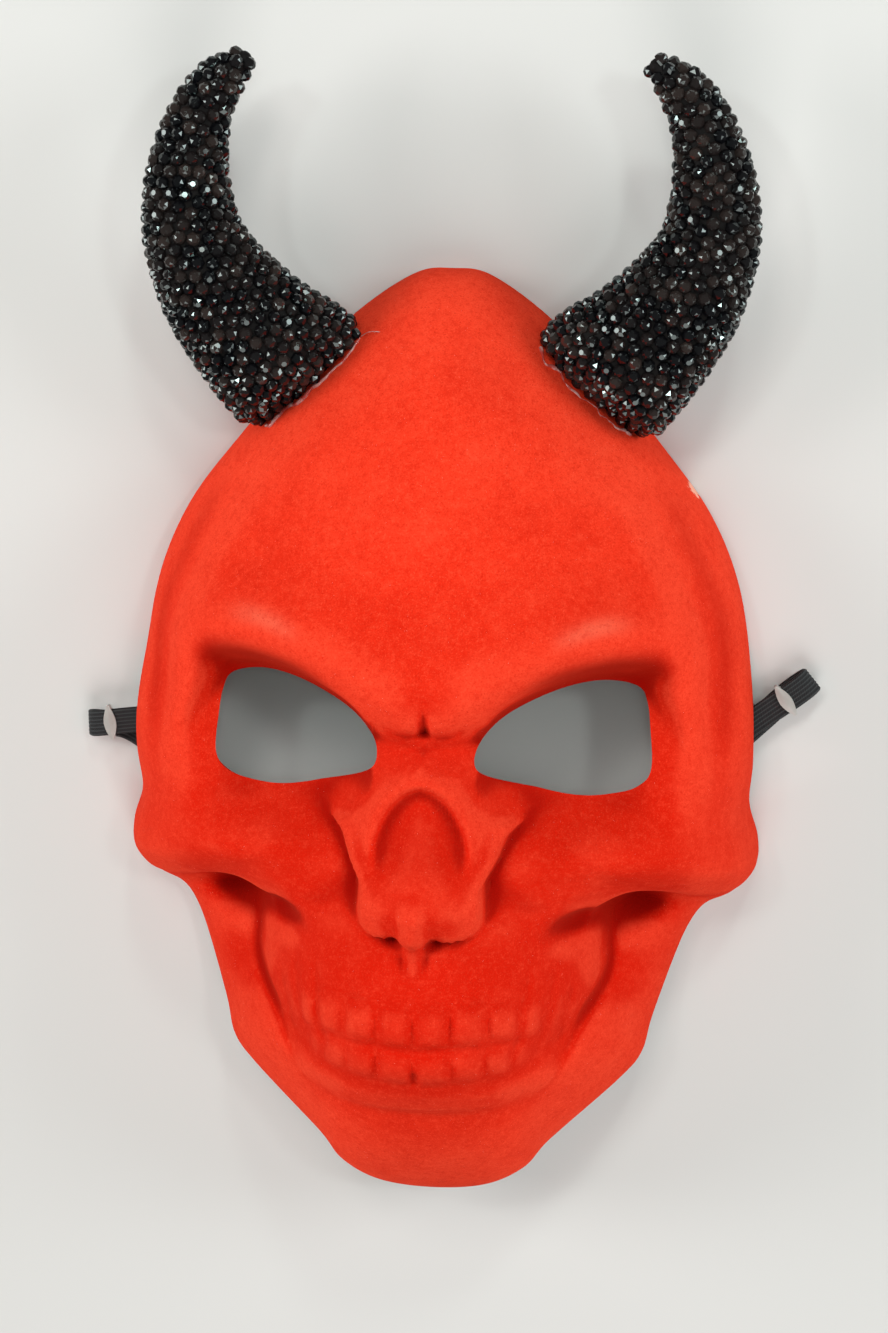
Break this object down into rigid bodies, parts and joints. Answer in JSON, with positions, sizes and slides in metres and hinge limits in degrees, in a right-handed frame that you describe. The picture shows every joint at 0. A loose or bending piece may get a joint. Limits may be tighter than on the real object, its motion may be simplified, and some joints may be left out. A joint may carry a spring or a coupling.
{
  "type": "devil mask",
  "caption": "Full-face skull devil mask of thin moulded shell in red flock, with stone-studded curved horns and an elastic head strap.",
  "frame": {"origin": "on the surface the mask lies on, under the middle of the box round the mask and horns", "axes": "+X towards the viewer's right of the face, +Y from the chin towards the horns, +Z out of the face"},
  "size_m": [0.1999, 0.3094, 0.0827],
  "materials": {
    "red_flock": "thin moulded plastic with short red flock on the face side",
    "black_stones": "faceted black acrylic stones set close together on a black moulded horn",
    "black_elastic": "flat ribbed braided elastic",
    "clear_plastic": "milky translucent moulded plastic"
  },
  "bodies": {
    "root": {"mask_shell": "red_flock", "horn_left": "black_stones", "horn_right": "black_stones", "elastic_strap": "black_elastic", "strap_tie_left": "clear_plastic", "strap_tie_right": "clear_plastic"}
  },
  "joints": []
}
